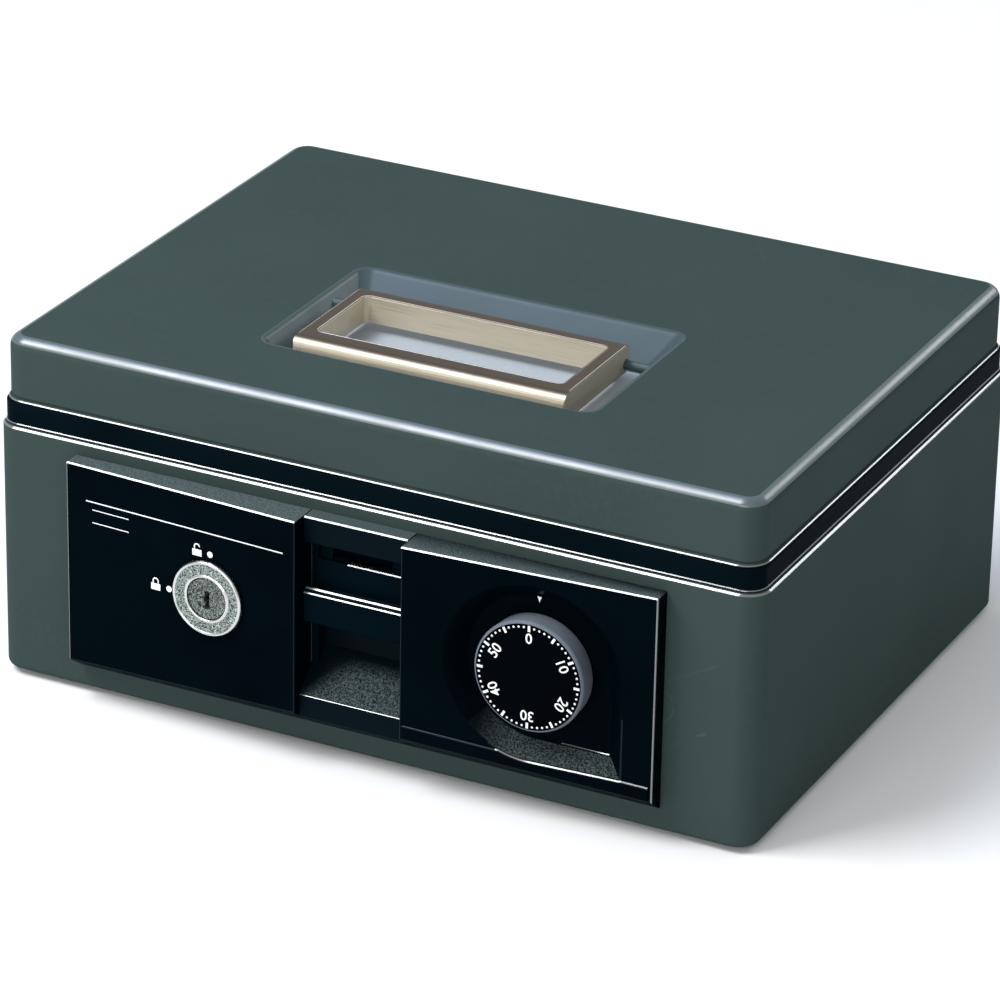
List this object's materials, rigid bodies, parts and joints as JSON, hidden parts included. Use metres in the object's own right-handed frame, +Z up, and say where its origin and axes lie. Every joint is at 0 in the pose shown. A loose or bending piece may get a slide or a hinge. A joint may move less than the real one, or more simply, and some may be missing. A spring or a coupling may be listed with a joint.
{
  "type": "cash box",
  "caption": "Portable steel cash box with a hinged lid, a folding carry handle in a recess, a front latch lever, a key lock, a combination dial and a lift-out coin tray.",
  "frame": {"origin": "centre of the overall box in plan, at the underside of the feet", "axes": "+X across the width, to the right seen from the front; +Y to the rear; +Z up"},
  "size_m": [0.3, 0.2455, 0.1355],
  "materials": {
    "case_paint": "semi-gloss grey-green enamel",
    "rim_plastic": "gloss black",
    "panel_plastic": "gloss blue-black",
    "latch_plastic": "satin dark grey",
    "dial_plastic": "satin black, with white markings",
    "handle_metal": "brushed, champagne",
    "lock_steel": "turned and polished",
    "zinc_steel": "zinc plated",
    "spring_steel": "bright",
    "wheel_brass": "turned",
    "foot_rubber": "matt black",
    "tray_plastic": "fine grain, dark grey",
    "mat_felt": "felt"
  },
  "bodies": {
    "case": {"body_shell": "case_paint", "foot_1": "foot_rubber", "foot_2": "foot_rubber", "foot_3": "foot_rubber", "foot_4": "foot_rubber", "floor_mat": "mat_felt", "rim_frame": "rim_plastic", "panel_key_side": "panel_plastic", "panel_dial_side": "panel_plastic", "latch_housing": "latch_plastic", "latch_pivot_pin": "zinc_steel", "latch_lever_spring": "spring_steel", "lock_case": "zinc_steel", "case_screw_1": "zinc_steel", "case_screw_2": "zinc_steel", "case_screw_3": "zinc_steel", "case_screw_4": "zinc_steel", "key_cylinder": "lock_steel", "key_cylinder_nut": "wheel_brass", "wheel_post": "wheel_brass", "fence_stud": "zinc_steel", "hinge_body_leaf_left": "zinc_steel", "hinge_body_leaf_right": "zinc_steel", "hinge_pin_left": "zinc_steel", "hinge_pin_right": "zinc_steel", "tray_rail_left": "zinc_steel", "tray_rail_right": "zinc_steel"},
    "lid": {"lid_shell": "case_paint", "lid_strike": "zinc_steel", "handle_pin_left": "zinc_steel", "handle_pin_right": "zinc_steel", "handle_bracket_left": "zinc_steel", "handle_bracket_right": "zinc_steel", "hinge_lid_leaf_left": "zinc_steel", "hinge_lid_leaf_right": "zinc_steel"},
    "carry_handle": {"handle": "handle_metal"},
    "key_core": {"key_plug": "lock_steel", "key_cam": "zinc_steel", "key_cam_screw": "zinc_steel"},
    "dial": {"dial_knob": "dial_plastic", "dial_spindle": "zinc_steel", "drive_wheel": "wheel_brass"},
    "front_tumbler": {"tumbler_wheel_1": "wheel_brass"},
    "middle_tumbler": {"tumbler_wheel_2": "wheel_brass"},
    "lever": {"latch_lever": "latch_plastic"},
    "slide": {"latch_slide": "zinc_steel"},
    "fence": {"fence_lever": "zinc_steel"},
    "tray": {"coin_tray": "tray_plastic"}
  },
  "joints": [
    {"name": "lid_hinge", "type": "hinge", "parent": "case", "child": "lid", "pos_m": [0, 0.12015, 0.1037], "axis": [-1, 0, 0], "range_deg": [0, 100]},
    {"name": "handle_pivot", "type": "hinge", "parent": "lid", "child": "carry_handle", "pos_m": [0, -0.01345, 0.1283], "axis": [-1, 0, 0], "range_deg": [0, 90]},
    {"name": "key_turn", "type": "hinge", "parent": "case", "child": "key_core", "pos_m": [-0.0561, -0.12001, 0.0563], "axis": [-0.0578, -0.9983, 0], "range_deg": [0, 90]},
    {"name": "dial_turn", "type": "hinge", "parent": "case", "child": "dial", "pos_m": [0.0703, 0.00395, 0.0563], "axis": [0, 1, 0], "continuous": true},
    {"name": "front_tumbler_turn", "type": "hinge", "parent": "case", "child": "front_tumbler", "pos_m": [0.0703, 0.00395, 0.0563], "axis": [0, 1, 0], "continuous": true},
    {"name": "middle_tumbler_turn", "type": "hinge", "parent": "case", "child": "middle_tumbler", "pos_m": [0.0703, 0.00395, 0.0563], "axis": [0, 1, 0], "continuous": true},
    {"name": "latch_lever_pull", "type": "hinge", "parent": "case", "child": "lever", "pos_m": [0, -0.10825, 0.0755], "axis": [-1, 0, 0], "range_deg": [0, 20]},
    {"name": "latch_slide_travel", "type": "slide", "parent": "case", "child": "slide", "axis": [0, 1, 0], "range_m": [0, 0.0031], "stiffness_N_per_m": 1200, "springref_m": -0.0031},
    {"name": "fence_lift", "type": "hinge", "parent": "case", "child": "fence", "pos_m": [0.036, 0.00395, 0.083], "axis": [0, -1, 0], "range_deg": [0, 6]},
    {"name": "tray_lift", "type": "slide", "parent": "case", "child": "tray", "axis": [0, 0, 1], "range_m": [0, 0.02]}
  ],
  "couplings": [
    {"joint": "latch_lever_pull", "follows": "latch_slide_travel", "rad_per_m": 112.3}
  ]
}
